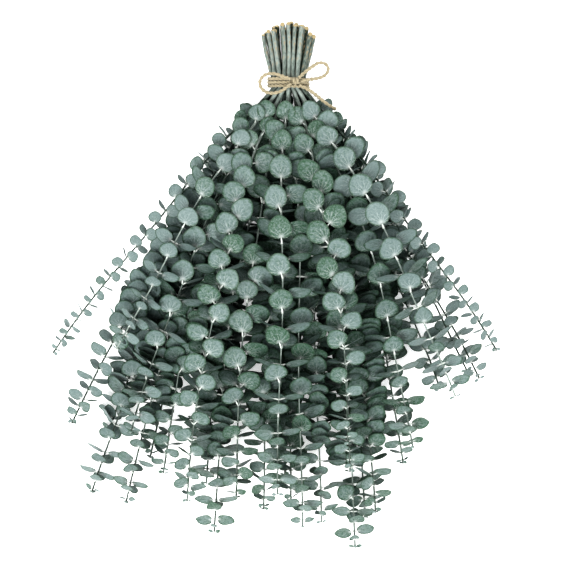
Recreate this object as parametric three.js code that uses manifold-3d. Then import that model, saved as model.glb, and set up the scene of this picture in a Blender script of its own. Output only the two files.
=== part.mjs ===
// A bunch of leafy eucalyptus branches tied with jute twine, lying on a table.
// Millimetres, +Z up. The cut ends point to +Y, the tips to -Y, and the bow lies on top of the neck.
// While it is laid out, the middle of the tie is at x = 0, y = 0 and the table at z = 0.
import * as THREE from "three";
import { mergeVertices } from "three/addons/utils/BufferGeometryUtils.js";
import Module from "manifold-3d";

const wasm = await Module();
wasm.setup();

// Driving dimensions of a branch
const BUTT_LENGTH = 50; // from the tie to the cut end
const BUTT_UNEVEN = 3; // how far the cut ends stand out or fall short
const BUTT_ROUND = 0.02; // how much shorter the outer cut ends are, for the square of their x
const BUTT_ASIDE = 1.1; // how far a cut end may lie to one side
const STEM_RADIUS = 1.65; // at the tie and the cut end
const TWIG_RADIUS = 0.65; // at the tip
const STEM_SIDES = 5;
const LEAF_RADIUS = 9.8; // of the largest round blades
const LEAF_THICKNESS = 0.7;
const LEAF_FOLD = 0.06; // rise of a blade's sides for each mm from its midrib
const PETIOLE = 2.6; // from the stem's surface to the round of the blade
const PETIOLE_HALF_WIDTH = 0.5;
const NODE_SPACING = 14.5; // between leaf pairs on the lower branch
const TWIG_SPACING = 6.5; // between leaf pairs on the last of the twig
const SLIM_SPACING = 7.5; // and on that of a slim branch at the side of the bunch
const TIP_SPACING = 3.8; // between leaf pairs at the tip
const SLIM_BLADE = 0.66; // size of the largest blades of such a branch, over those of the others
const FIRST_PAIR = 40; // from the neck to the first leaf pair, along the stem
const MADE_PAIR = 7; // every seventh leaf pair is made here, and the one at the tip

// The branches lie in five layers. Each row gives a branch's tip, x and y from the tie, left to right.
const LAYER_TIPS = [
  [[-155, -300], [-75, -318], [-3, -335], [66, -372], [130, -262]],
  [[-168, -350], [-118, -320], [-70, -342], [2, -358], [57, -397], [98, -325], [152, -245]],
  [[-184, -290], [-138, -358], [-106, -332], [-63, -382], [-21, -363], [28, -374], [74, -366], [162, -252]],
  [[-199, -230], [-133, -298], [-44, -352], [12, -377], [52, -330], [105, -310], [176, -228]],
  [[-144, -226], [-85, -354], [-9, -348], [50, -306], [140, -266]],
];
const COLUMN_PITCH = 3.7; // between stems in a layer, at the tie
const BUTT_SPREAD = 1.62; // width of the bundle at the cut ends, over that at the tie
const SIDE_SLOPE = 0.7; // a stem with this slope or more leaves sideways
const BEND_OUT = [0.85, 0.52]; // a stem's curve: how far out its bend is, over its tip, straight down and sideways
const BEND_DOWN = [0.33, 0.46]; // and how far down
const WAVE = 2.5; // sideways waves in a stem
const CURVE_STEPS = 160; // that a stem's curve is measured in
const STRETCHES = [0, 18, 42, 72, 110, 155, 205, 260, 320]; // a stem's straight stretches meet this far from the neck

// Height of the lowest layer's stems, and the gap from layer to layer
const LOW = { butt: 1.7, tie: 9, leaves: 12, tips: 7 };
const GAP = { butt: 4.1, tie: 3.4, leaves: 19, tips: 13 };
const NECK_HALF = 4.5; // the stems run side by side this far to both sides of the tie
const NECK_REACH = 14; // the neck ends this far from the middle of the tie
const SWELL_REACH = 150; // the bunch is at its thickest this far out
const TIP_REACH = 390;
const EDGE_DROP = 0.35; // share of the gap that is lost at the sides of the fan
const EDGE_ANGLE = Math.PI / 4;

// How a leaf stands on its stem, in degrees
const TURN_PER_PAIR = 90;
const TURN_JITTER = 14;
const LEAN = 16; // back towards the cut end
const LEAN_JITTER = 9;
const FACE_UP = [24, 40]; // a leaf beside the stem turns its face this much up: a grown one, and a young one
const TWIST = 16; // and this much more or less
const PRESSED = 0.9; // how far a leaf above the stem is pressed flat
const PRESSED_BELOW = [0.9, 0.9, 0.6, 0.3, 0.3]; // and the share of that for one below it, by layer
const PRESSED_LIFT = 0.42; // rise of a pressed leaf for its length
const LIFT_PER_DEGREE = 0.012;
const CLEAR_OF_LEAF = 1.7; // between the middles of two blades
const CLEAR_OF_STEM = 0.9;
const OBSTACLE_STEP = 2.5; // between the points that a stem is felt at
// A leaf that would cross something is bent: degrees round the stem, and degrees back.
const BENDS = [
  [0, 0], [0, 14], [0, -14], [16, 0], [-16, 0], [16, 14], [-16, 14], [16, -14], [-16, -14],
  [0, 28], [30, 0], [-30, 0], [30, 20], [-30, 20], [0, -28], [45, 10], [-45, 10],
];
const LEAF_SIZES = [1, 0.85, 0.7]; // and made smaller, if no bend clears it

// Twine
const TWINE_RADIUS = 1.5;
const WRAP_TURNS = 3;
const WRAP_PITCH = 3;
const WRAP_HALF_WIDTH = 15.2; // inside the wraps
const WRAP_HALF_HEIGHT = 10.3;
const KNOT = { x: 6, y: 0.6, rise: 2.7, size: [3.8, 3.6, 2.6] }; // its half-sizes
// Routes of the bow's loops and of its free end: x, y, and the height above the top of the wraps
const LEFT_LOOP = [
  [2, 2.2, 3.2], [-5, 4.8, 3], [-12, 7, 2], [-18.5, 6.8, -0.1], [-23.4, 3, -2.1],
  [-24.2, -2.4, -2.9], [-20.5, -7.4, -2.1], [-14, -9.4, -0.3], [-6.5, -7.8, 1.3], [-0.5, -3.8, 2.2], [2.1, -1.3, 2.3],
];
const RIGHT_LOOP = [
  [8.9, 3.3, 2.9], [13.6, 7.8, 2.2], [19.6, 12.6, -0.1], [26, 16.4, -2.7], [31.8, 15.6, -4.7],
  [34, 10.8, -5.5], [31, 6, -4.7], [25, 3.4, -2.5], [17.5, 2.1, 0.6], [10.2, 0.4, 1.9],
];
const TAIL = [
  [9, -2.9, 2], [15, -5.4, 0.4], [21.5, -9.4, -1.6], [28, -14.6, -3.2], [34.5, -19.4, -4.4], [40.5, -23, -5],
];
const WRAP_FACETS = 24;
const TWINE_SIDES = 8;
const STEP_LENGTH = 6; // along a loop or the free end

const NECK_HEIGHT = LOW.tie + 2 * GAP.tie; // middle of the neck
const WRAP_TOP = NECK_HEIGHT + WRAP_HALF_HEIGHT + 2 * TWINE_RADIUS;

const UP = new THREE.Vector3(0, 0, 1);
const degrees = THREE.MathUtils.degToRad;
const mix = THREE.MathUtils.lerp;
const smooth = (value) => THREE.MathUtils.smoothstep(value, 0, 1);

// A number from -1 to 1 that is drawn once and for all for a place in the bunch.
function draw(...place) {
  let hash = 2026;
  for (const key of place) {
    hash = Math.imul(hash ^ (key + 1), 0x9e3779b1);
    hash ^= hash >>> 15;
  }
  hash = Math.imul(hash, 0x85ebca6b);
  hash ^= hash >>> 13;
  return (hash >>> 0) / 0x80000000 - 1;
}

// The height of a layer's stems at a place in the fan.
function height(x, y, layer) {
  if (y > -NECK_HALF) {
    const share = Math.max(0, (y - NECK_HALF) / (BUTT_LENGTH - NECK_HALF));
    return mix(LOW.tie, LOW.butt, share) + layer * mix(GAP.tie, GAP.butt, share);
  }
  const reach = Math.max(0, Math.hypot(x, y) - NECK_REACH);
  const angle = Math.min(Math.atan2(Math.abs(x), -y), EDGE_ANGLE);
  const swell = smooth(reach / SWELL_REACH);
  const droop = (reach / TIP_REACH) ** 2;
  const low = mix(LOW.tie, LOW.leaves, swell) - (LOW.leaves - LOW.tips) * droop;
  const edge = 1 - EDGE_DROP * (angle / EDGE_ANGLE) ** 2;
  const gap = GAP.tie + (GAP.leaves - GAP.tie) * swell * edge - (GAP.leaves - GAP.tips) * droop;
  return low + layer * gap;
}

// A line through points, with the distance of each point from the neck, where the branches part.
function measuredLine(points, neck) {
  const along = [0];
  for (let i = 1; i < points.length; i++) along.push(along[i - 1] + points[i].distanceTo(points[i - 1]));
  const shifted = along.map((value) => value - along[neck]);
  return { points, along: shifted, butt: shifted[0], tip: shifted.at(-1) };
}

// A stem's middle line, from the cut end to the tip, in straight stretches.
function stemLine(branch) {
  const { layer, start, tip, index } = branch;
  const side = smooth(Math.abs(tip[0] / tip[1]) / SIDE_SLOPE);
  const bend = [mix(start, tip[0], mix(...BEND_OUT, side)), tip[1] * mix(...BEND_DOWN, side)];
  const phase = Math.PI * draw(index, 2);
  const curve = [];
  for (let i = 0; i <= CURVE_STEPS; i++) {
    const t = i / CURVE_STEPS;
    const wave = WAVE * 4 * t * (1 - t) * Math.sin(2.5 * Math.PI * t + phase);
    const x = (1 - t) ** 2 * start + 2 * t * (1 - t) * bend[0] + t * t * tip[0] + wave;
    const y = (1 - t) ** 2 * -NECK_HALF + 2 * t * (1 - t) * bend[1] + t * t * tip[1];
    curve.push(new THREE.Vector3(x, y, height(x, y, layer)));
  }
  const whole = measuredLine(curve, 0);
  const cutX = start * BUTT_SPREAD + BUTT_ASIDE * draw(index, 13);
  const butt = BUTT_LENGTH + BUTT_UNEVEN * draw(index, 1) - BUTT_ROUND * cutX ** 2;
  const points = [new THREE.Vector3(cutX, butt, height(cutX, butt, layer))];
  points.push(new THREE.Vector3(start, NECK_HALF, height(start, 0, layer)));
  for (const distance of STRETCHES) if (distance < whole.tip - 25) points.push(pointAt(whole, distance));
  points.push(curve.at(-1));
  return measuredLine(points, 2);
}

// The point of a stem's line at a distance from the neck.
function pointAt(line, distance) {
  const last = line.points.length - 2;
  const found = line.along.findIndex((value) => value > distance) - 1;
  const i = Math.min(last, found < -1 ? last : Math.max(0, found));
  const share = (distance - line.along[i]) / (line.along[i + 1] - line.along[i]);
  return line.points[i].clone().lerp(line.points[i + 1], share);
}

// A stem's radius, even from the cut end to the neck and then tapering to the tip, fast at first.
function stemRadius(line, distance) {
  return mix(TWIG_RADIUS, STEM_RADIUS, (1 - Math.max(0, distance) / line.tip) ** 3);
}

// How slim a branch is, from 0 to 1: those that leave sideways have smaller leaves for longer.
function slimness(branch) {
  return smooth((Math.abs(branch.tip[0] / branch.tip[1]) - 0.55) / 0.3);
}

// Distances of a branch's leaf pairs from the neck: they come closer towards the tip.
function leafPairs(branch) {
  const first = FIRST_PAIR + 9 * draw(branch.index, 3);
  const slim = slimness(branch);
  const spacing = mix(TWIG_SPACING, SLIM_SPACING, slim);
  const places = [];
  for (let at = first; at < branch.line.tip - 1.5; ) {
    const left = branch.line.tip - at;
    places.push({ at, left, pair: places.length });
    const twig = mix(TIP_SPACING, spacing, smooth(left / 14));
    at += twig + (NODE_SPACING - spacing) * smooth(left / mix(80, 200, slim));
  }
  return places;
}

// The radius of a blade: the first are not the largest, and those on the last of the twig get small.
function leafRadius(branch, place) {
  const grown = mix(0.84, 1, smooth((place.at - FIRST_PAIR) / 60));
  const slim = slimness(branch);
  const twig = mix(0.72, 0.45, slim);
  const more = (mix(1, SLIM_BLADE, slim) - twig) * smooth(place.left / mix(120, 240, slim));
  const tapered = mix(0.22, twig, smooth(place.left / 13)) + more;
  return LEAF_RADIUS * grown * tapered * (1 + 0.07 * draw(branch.index, 4));
}

// Where a leaf stands: its root in the stem, the way its midrib points, the way its face looks, and its disc.
function leafPose(branch, place, side, turn, lean, size) {
  const { line, index } = branch;
  const root = pointAt(line, place.at);
  const forward = pointAt(line, place.at + 3).sub(pointAt(line, place.at - 3)).normalize();
  const up = UP.clone().addScaledVector(forward, -UP.dot(forward)).normalize();
  const across = new THREE.Vector3().crossVectors(forward, up);
  const jitter = TURN_JITTER * draw(index, place.pair, side, 5);
  const angle = degrees(branch.turn + TURN_PER_PAIR * place.pair + 180 * side + jitter + turn);
  const outward = across.clone().multiplyScalar(Math.cos(angle)).addScaledVector(up, Math.sin(angle));
  const young = 1 - smooth((place.left - 10) / 120);
  const back = degrees(LEAN * (1 - 0.8 * young) + LEAN_JITTER * draw(index, place.pair, side, 6) + lean);
  const along = outward.clone().multiplyScalar(Math.cos(back)).addScaledVector(forward, -Math.sin(back));
  const face = outward.clone().multiplyScalar(Math.sin(back)).addScaledVector(forward, Math.cos(back));
  const twist = degrees(mix(...FACE_UP, young) * Math.cos(angle) + TWIST * draw(index, place.pair, side, 7));
  const sideways = new THREE.Vector3().crossVectors(along, face);
  face.multiplyScalar(Math.cos(twist)).addScaledVector(sideways, Math.sin(twist));

  const sense = Math.sin(angle) < 0 ? -1 : 1;
  const most = PRESSED * (sense < 0 ? PRESSED_BELOW[branch.layer] : 1) * (1 - 0.5 * young);
  const flat = most * smooth((Math.abs(Math.sin(angle)) - 0.2) / 0.5);
  const lift = sense * (PRESSED_LIFT - LIFT_PER_DEGREE * lean);
  const pressed = across.clone().multiplyScalar(0.65 * Math.cos(angle));
  pressed.addScaledVector(forward, -0.8).addScaledVector(up, lift).normalize();
  along.lerp(pressed, flat).normalize();
  face.lerp(up.clone().multiplyScalar(sense), flat);
  face.addScaledVector(along, -face.dot(along)).normalize();

  const radius = size * leafRadius(branch, place);
  const stem = stemRadius(line, place.at);
  root.addScaledVector(outward, 0.5 * stem);
  const reach = 0.5 * stem + PETIOLE * (radius / LEAF_RADIUS) ** 2 + radius;
  const middle = root.clone().addScaledVector(along, reach);
  return { index, pair: place.pair, root, along, face, radius, reach, middle };
}

// The distance from a point to a leaf's disc.
function distanceToDisc(point, leaf) {
  const offset = point.clone().sub(leaf.middle);
  const rise = offset.dot(leaf.face);
  const out = Math.sqrt(Math.max(0, offset.lengthSq() - rise * rise)) - leaf.radius;
  return out > 0 ? Math.hypot(rise, out) : Math.abs(rise);
}

// The middle of a leaf's disc and eight points on its rim.
function discPoints(leaf) {
  const sideways = new THREE.Vector3().crossVectors(leaf.along, leaf.face);
  const points = [leaf.middle];
  for (let i = 0; i < 8; i++) {
    const angle = (i * Math.PI) / 4;
    points.push(
      leaf.middle
        .clone()
        .addScaledVector(leaf.along, leaf.radius * Math.cos(angle))
        .addScaledVector(sideways, leaf.radius * Math.sin(angle)),
    );
  }
  return points;
}

// True where two discs cut each other: their planes' common line runs through both at one place.
function discsCross(a, b) {
  const line = new THREE.Vector3().crossVectors(a.face, b.face);
  const size = line.lengthSq();
  if (size < 1e-6) return false;
  const heightA = a.face.dot(a.middle);
  const heightB = b.face.dot(b.middle);
  const start = new THREE.Vector3().crossVectors(b.face, line).multiplyScalar(heightA);
  start.add(new THREE.Vector3().crossVectors(line, a.face).multiplyScalar(heightB)).divideScalar(size);
  line.divideScalar(Math.sqrt(size));
  const spans = [a, b].map((leaf) => {
    const offset = leaf.middle.clone().sub(start);
    const at = offset.dot(line);
    const half = (leaf.radius + CLEAR_OF_LEAF / 2) ** 2 - (offset.lengthSq() - at * at);
    return { at, half: half > 0 ? Math.sqrt(half) : -Infinity };
  });
  return Math.abs(spans[0].at - spans[1].at) < spans[0].half + spans[1].half;
}

// True where a leaf clears the table, the other branches' stems, the twine and the leaves before it.
function isClear(leaf, obstacles, leaves) {
  const drop = leaf.radius * Math.sqrt(1 - leaf.face.z ** 2);
  if (leaf.middle.z - drop < LEAF_THICKNESS) return false;
  for (const { owner, point, radius } of obstacles) {
    if (owner === leaf.index) continue;
    if (distanceToDisc(point, leaf) < radius + CLEAR_OF_STEM) return false;
  }
  for (const other of leaves) {
    if (other.index === leaf.index && other.pair === leaf.pair) continue;
    if (leaf.middle.distanceTo(other.middle) > leaf.radius + other.radius + CLEAR_OF_LEAF) continue;
    if (discsCross(leaf, other)) return false;
    if (discPoints(leaf).some((point) => distanceToDisc(point, other) < CLEAR_OF_LEAF)) return false;
    if (discPoints(other).some((point) => distanceToDisc(point, leaf) < CLEAR_OF_LEAF)) return false;
  }
  return true;
}

// The leaf at a place, bent or made smaller until it is clear, or nothing where it never is.
function clearLeaf(branch, place, side, obstacles, leaves) {
  for (const size of LEAF_SIZES)
    for (const [turn, lean] of BENDS) {
      const leaf = leafPose(branch, place, side, turn, lean, size);
      if (isClear(leaf, obstacles, leaves)) return leaf;
    }
  return null;
}

// A closed solid from a geometry's triangles.
function solidOf(geometry) {
  geometry.deleteAttribute("normal");
  geometry.deleteAttribute("uv");
  const merged = mergeVertices(geometry, 1e-4);
  const mesh = new wasm.Mesh({
    numProp: 3,
    vertProperties: merged.attributes.position.array,
    triVerts: new Uint32Array(merged.index.array),
  });
  return new wasm.Manifold(mesh);
}

function geometryOf(solid) {
  const mesh = solid.getMesh();
  const geometry = new THREE.BufferGeometry();
  geometry.setAttribute("position", new THREE.BufferAttribute(mesh.vertProperties, 3));
  geometry.setIndex(new THREE.BufferAttribute(mesh.triVerts, 1));
  geometry.computeVertexNormals();
  return geometry;
}

// A tapering stem: a cylinder whose rings are carried to the points of the stem's line.
function stemGeometry(line) {
  const last = line.points.length - 1;
  const geometry = new THREE.CylinderGeometry(1, 1, 1, STEM_SIDES, last);
  const position = geometry.attributes.position;
  for (let i = 0; i < position.count; i++) {
    const ring = Math.round((0.5 - position.getY(i)) * last);
    const middle = line.points[ring].clone();
    const forward = line.points[Math.min(ring + 1, last)].clone().sub(line.points[Math.max(ring - 1, 0)]).normalize();
    const up = UP.clone().addScaledVector(forward, -UP.dot(forward)).normalize();
    const across = new THREE.Vector3().crossVectors(forward, up);
    const radius = stemRadius(line, line.along[ring]);
    middle.addScaledVector(across, -radius * position.getX(i)).addScaledVector(up, radius * position.getZ(i));
    position.setXYZ(i, middle.x, middle.y, middle.z);
  }
  return geometry;
}

// A round blade on a short stalk, flat at first and then folded a little along its midrib.
function leafGeometry(leaf) {
  const { radius, reach } = leaf;
  const outline = new THREE.Shape();
  const stalk = reach - radius + 0.2;
  outline.moveTo(-PETIOLE_HALF_WIDTH, stalk);
  outline.lineTo(0, 0);
  outline.lineTo(PETIOLE_HALF_WIDTH, stalk);
  for (const angle of [-30, 30, 90, 150, 210])
    outline.lineTo(radius * Math.cos(degrees(angle)), reach + radius * Math.sin(degrees(angle)));
  const blade = new THREE.ExtrudeGeometry(outline, { depth: LEAF_THICKNESS, bevelEnabled: false });
  const position = blade.attributes.position;
  for (let i = 0; i < position.count; i++)
    position.setZ(i, position.getZ(i) - LEAF_THICKNESS / 2 + LEAF_FOLD * Math.abs(position.getX(i)));
  const sideways = new THREE.Vector3().crossVectors(leaf.along, leaf.face);
  return blade.applyMatrix4(new THREE.Matrix4().makeBasis(sideways, leaf.along, leaf.face).setPosition(leaf.root));
}

// The curve of a twine's route.
function twineCurve(route) {
  return new THREE.CatmullRomCurve3(route.map(([x, y, rise]) => new THREE.Vector3(x, y, WRAP_TOP + rise)));
}

// A tube of twine along a route.
function twineGeometry(route) {
  const path = twineCurve(route);
  const section = new THREE.Shape();
  for (let i = 0; i < TWINE_SIDES; i++) {
    const angle = (i * 2 * Math.PI) / TWINE_SIDES;
    const point = [TWINE_RADIUS * Math.cos(angle), TWINE_RADIUS * Math.sin(angle)];
    if (i) section.lineTo(...point);
    else section.moveTo(...point);
  }
  const steps = Math.round(path.getLength() / STEP_LENGTH);
  return new THREE.ExtrudeGeometry(section, { steps, extrudePath: path, bevelEnabled: false });
}

// The wraps round the neck, side by side as one ridged ring.
function wrapGeometry() {
  const profile = [];
  const half = (WRAP_TURNS * WRAP_PITCH) / 2;
  profile.push(new THREE.Vector2(0, -half), new THREE.Vector2(TWINE_RADIUS, -half));
  for (let turn = 0; turn < WRAP_TURNS; turn++) {
    const middle = (turn + 0.5) * WRAP_PITCH - half;
    profile.push(new THREE.Vector2(2 * TWINE_RADIUS, middle));
    profile.push(new THREE.Vector2(1.2 * TWINE_RADIUS, middle + WRAP_PITCH / 2));
  }
  profile.push(new THREE.Vector2(0, half), new THREE.Vector2(0, -half));
  const ring = new THREE.LatheGeometry(profile.map((p) => new THREE.Vector2(1 + p.x, p.y)), WRAP_FACETS);
  const position = ring.attributes.position;
  for (let i = 0; i < position.count; i++) {
    const out = Math.hypot(position.getX(i), position.getZ(i));
    const [x, z] = [position.getX(i) / out, position.getZ(i) / out];
    position.setXYZ(i, x * (WRAP_HALF_WIDTH + out - 1), position.getY(i), z * (WRAP_HALF_HEIGHT + out - 1));
  }
  return ring;
}

const foliage = new THREE.MeshStandardMaterial({ color: 0x7f9a90, roughness: 0.65, metalness: 0, flatShading: true });
const jute = new THREE.MeshStandardMaterial({ color: 0xc2ac7e, roughness: 0.95, metalness: 0 });

const bunch = new THREE.Group();
function add(name, geometry, material) {
  const mesh = new THREE.Mesh(geometry, material);
  mesh.name = name;
  bunch.add(mesh);
  return mesh;
}

// Branches, numbered from the lowest layer up and from left to right
const branches = [];
LAYER_TIPS.forEach((tips, layer) =>
  tips.forEach((tip, column) => {
    const branch = { index: branches.length, layer, tip, start: (column - (tips.length - 1) / 2) * COLUMN_PITCH };
    branch.turn = 45 + 45 * (branch.index % 2) + 15 * draw(branch.index, 0);
    branch.line = stemLine(branch);
    branches.push(branch);
  }),
);

// What leaves have to clear: points along every stem and along the twine
const obstacles = [];
for (const { line, index } of branches)
  for (let at = line.butt; at < line.tip + OBSTACLE_STEP; at += OBSTACLE_STEP)
    obstacles.push({ owner: index, point: pointAt(line, at), radius: stemRadius(line, at) });
for (const route of [LEFT_LOOP, RIGHT_LOOP, TAIL])
  for (const point of twineCurve(route).getSpacedPoints(40))
    obstacles.push({ owner: -1, point, radius: TWINE_RADIUS });

// Leaves, from the top layer down, so that those in full view are bent least
const leaves = [];
for (const branch of branches.toReversed()) {
  const pairs = leafPairs(branch);
  for (const place of pairs) {
    const made = (place.pair + 3 * branch.index) % MADE_PAIR === 0 || place.pair === pairs.length - 1;
    for (const side of made ? [0, 1] : []) {
      const leaf = clearLeaf(branch, place, side, obstacles, leaves);
      if (leaf) leaves.push(leaf);
    }
  }
}

for (const branch of branches) {
  const own = leaves.filter((leaf) => leaf.index === branch.index);
  const solid = own.reduce((whole, leaf) => whole.add(solidOf(leafGeometry(leaf))), solidOf(stemGeometry(branch.line)));
  add("branch_" + String(branch.index + 1).padStart(2, "0"), geometryOf(solid), foliage);
}

add("twine_wrap", wrapGeometry(), jute).position.z = NECK_HEIGHT;
const knot = add("twine_knot", new THREE.SphereGeometry(1, 10, 7), jute);
knot.position.set(KNOT.x, KNOT.y, WRAP_TOP + KNOT.rise);
knot.scale.set(...KNOT.size);

// The table is at z = 0 and the middle of the bunch, without the bow, over the origin.
const box = new THREE.Box3().setFromObject(bunch, true);
add("twine_loop_left", twineGeometry(LEFT_LOOP), jute);
add("twine_loop_right", twineGeometry(RIGHT_LOOP), jute);
add("twine_tail", twineGeometry(TAIL), jute);
bunch.position.set(-(box.min.x + box.max.x) / 2, -(box.min.y + box.max.y) / 2, -box.min.z);

// The bunch's frame is moved, so the part stands in a group of its own.
const part = new THREE.Group();
part.add(bunch);
export default part;
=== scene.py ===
# %% [markdown]
# # A tied bunch of eucalyptus
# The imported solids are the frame: 32 branches with some of their leaves, and the jute twine that ties them.
# This lesson dresses them. Every branch gets its full set of leaves, a stem with bark and a cut end, and
# the twine gets its two twisted strands. Lengths are millimetres in a plan that has the middle of the tie
# at x = 0 and y = 0. They become metres in the frame's own place when a mesh is made.

import bpy
import numpy as np
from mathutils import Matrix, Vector


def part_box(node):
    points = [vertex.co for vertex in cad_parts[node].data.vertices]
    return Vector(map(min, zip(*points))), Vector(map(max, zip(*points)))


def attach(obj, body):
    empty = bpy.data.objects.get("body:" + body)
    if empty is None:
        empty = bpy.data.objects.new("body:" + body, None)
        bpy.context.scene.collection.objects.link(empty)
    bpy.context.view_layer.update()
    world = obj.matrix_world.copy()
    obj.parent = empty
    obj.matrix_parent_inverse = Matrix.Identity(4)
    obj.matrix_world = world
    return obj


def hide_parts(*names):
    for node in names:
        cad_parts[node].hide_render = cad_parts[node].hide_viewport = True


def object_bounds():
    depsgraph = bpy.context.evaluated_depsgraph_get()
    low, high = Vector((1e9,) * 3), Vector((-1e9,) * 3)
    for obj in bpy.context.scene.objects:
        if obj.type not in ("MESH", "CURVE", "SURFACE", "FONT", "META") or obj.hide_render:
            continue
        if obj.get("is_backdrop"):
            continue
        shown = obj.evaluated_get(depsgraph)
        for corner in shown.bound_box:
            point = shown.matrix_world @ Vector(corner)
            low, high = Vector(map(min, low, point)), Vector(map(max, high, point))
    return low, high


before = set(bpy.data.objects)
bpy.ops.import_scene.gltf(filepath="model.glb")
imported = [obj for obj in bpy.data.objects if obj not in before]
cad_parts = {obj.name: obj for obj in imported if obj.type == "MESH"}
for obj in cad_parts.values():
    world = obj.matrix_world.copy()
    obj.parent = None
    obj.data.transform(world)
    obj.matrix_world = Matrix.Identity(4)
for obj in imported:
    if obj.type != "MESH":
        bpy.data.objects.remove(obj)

CAD_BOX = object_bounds()
print("frame:", len(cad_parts), "solids")

# %% [markdown]
# ## Chance and arithmetic
# A grown thing is never even, but a script has to make the same bunch each time. Usual random numbers
# depend on the order in which they are asked for. Here every chance is drawn from the place that it
# belongs to, such as a branch and a leaf pair, so one leaf more changes no other leaf's draws.

# %% Small helpers
SEED = 2026


def draw(*place):
    """A number from -1 to 1, drawn once and for all for a place in the bunch by mixing its whole numbers.
    The last of them tells the draws of one place apart."""
    value = SEED
    for key in place:
        value = ((value ^ (key + 1)) * 0x9E3779B1) & 0xFFFFFFFF
        value ^= value >> 15
    value = (value * 0x85EBCA6B) & 0xFFFFFFFF
    value ^= value >> 13
    return value / 0x80000000 - 1


def smooth(value, start=0, length=1):
    """Rises from 0 at the start to 1 a length on, evenly at both ends: 3 t squared less 2 t cubed."""
    t = np.clip((value - start) / length, 0, 1)
    return t * t * (3 - 2 * t)


def mix(a, b, share):
    """The value that lies a share of the way from a to b."""
    return a + (b - a) * share


def unit(vectors):
    """The vectors, each with length 1."""
    return vectors / np.linalg.norm(vectors, axis=-1, keepdims=True)


def dot(a, b):
    """Dot products along the last axis."""
    return (a * b).sum(-1)


print("the first stem's first draw is", round(draw(0, 0), 3))

# %% [markdown]
# ## Stems
# On the real bunch the stems are packed side by side under the twine, fan out below it, and droop with
# their leaves. They could be drawn one by one as curves. Here one rule lays out all of them, the same that
# laid out the solids, so the values repeat the part's own. The plan of a stem is a quadratic curve with a
# slow wave, and its height comes from one rule for each of five layers, so no two stems can meet.

# %% Values of the stems
# Tips of the branches, x and y from the tie: a row for each layer from the lowest up, from left to right
LAYER_TIPS = [
    [(-155, -300), (-75, -318), (-3, -335), (66, -372), (130, -262)],
    [(-168, -350), (-118, -320), (-70, -342), (2, -358), (57, -397), (98, -325), (152, -245)],
    [
        (-184, -290), (-138, -358), (-106, -332), (-63, -382),
        (-21, -363), (28, -374), (74, -366), (162, -252),
    ],
    [(-199, -230), (-133, -298), (-44, -352), (12, -377), (52, -330), (105, -310), (176, -228)],
    [(-144, -226), (-85, -354), (-9, -348), (50, -306), (140, -266)],
]
TOP_LAYER = len(LAYER_TIPS) - 1
STEM_RADIUS, TWIG_RADIUS = 1.65, 0.65
# The cut ends fan out from the tie, and are of uneven length, shorter towards the sides
COLUMN_PITCH, BUTT_SPREAD, BUTT_ASIDE = 3.7, 1.62, 1.1
BUTT_LENGTH, BUTT_UNEVEN, BUTT_ROUND = 50, 3, 0.02
# Bends of the curve for stems in the middle and at the sides, where tips lie at this slope; then the wave
BEND_OUT, BEND_DOWN, SIDE_SLOPE = (0.85, 0.52), (0.33, 0.46), 0.7
WAVE, WAVE_HALF_TURNS, CURVE_STEPS = 2.5, 2.5, 160
# Branches whose tips lie beyond a slope are slim: where that starts, and how soon it is full
SLIM_SLOPE = (0.55, 0.3)
# Distances between which the solids run straight, and the shortest last stretch
STRETCHES, SHORTEST_STRETCH = [0, 18, 42, 72, 110, 155, 205, 260, 320], 25
# Height of the lowest layer, and the gap from layer to layer, at four places along the bunch
LOW = {"butt": 1.7, "tie": 9, "leaves": 12, "tips": 7}
GAP = {"butt": 4.1, "tie": 3.4, "leaves": 19, "tips": 13}
NECK_HALF, NECK_REACH, SWELL_REACH, TIP_REACH = 4.5, 14, 150, 390
# The fan is thinner towards its edges
EDGE_DROP, EDGE_ANGLE = 0.35, np.pi / 4

# The place of the tie in the frame, and the height of the table in the plan
NECK_HEIGHT = LOW["tie"] + 2 * GAP["tie"]
wrap_low, wrap_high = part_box("twine_wrap")
ORIGIN = 500 * np.array(wrap_low + wrap_high) - (0, 0, NECK_HEIGHT)
TABLE = -ORIGIN[2]
print("the tie is at", np.round(ORIGIN, 2), "mm in the frame")


# %% Height and lines
def height(x, y, layer):
    """Height of a layer's stems: straight down to the cut ends, and a swelling, drooping fan of leaves."""
    share = np.maximum(0, (y - NECK_HALF) / (BUTT_LENGTH - NECK_HALF))
    straight = mix(LOW["tie"], LOW["butt"], share) + layer * mix(GAP["tie"], GAP["butt"], share)
    reach = np.maximum(0, np.hypot(x, y) - NECK_REACH)
    angle = np.minimum(np.arctan2(np.abs(x), -y), EDGE_ANGLE)
    swell = smooth(reach / SWELL_REACH)
    droop = (reach / TIP_REACH) ** 2
    low = mix(LOW["tie"], LOW["leaves"], swell) - (LOW["leaves"] - LOW["tips"]) * droop
    edge = 1 - EDGE_DROP * (angle / EDGE_ANGLE) ** 2
    gap = GAP["tie"] + (GAP["leaves"] - GAP["tie"]) * swell * edge - (GAP["leaves"] - GAP["tips"]) * droop
    return np.where(y > -NECK_HALF, straight, low + layer * gap)


class Line:
    """A line through points, with the distance of each point from the neck, where the branches part."""

    def __init__(self, points, neck):
        self.points = np.asarray(points, float)
        steps = np.linalg.norm(np.diff(self.points, axis=0), axis=1)
        along = np.concatenate(([0], np.cumsum(steps)))
        self.along = along - along[neck]
        self.butt, self.tip = self.along[0], self.along[-1]

    def at(self, distance):
        """Points at distances from the neck, on the line or straight on past its ends."""
        distance = np.asarray(distance, float)
        i = np.clip(np.searchsorted(self.along, distance, "right") - 1, 0, len(self.points) - 2)
        share = (distance - self.along[i]) / (self.along[i + 1] - self.along[i])
        return mix(self.points[i], self.points[i + 1], share[..., None])

    def radius(self, distance):
        """Even from the cut end to the neck, then tapering to the tip, fast at first."""
        return mix(TWIG_RADIUS, STEM_RADIUS, (1 - np.maximum(0, distance) / self.tip) ** 3)


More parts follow.
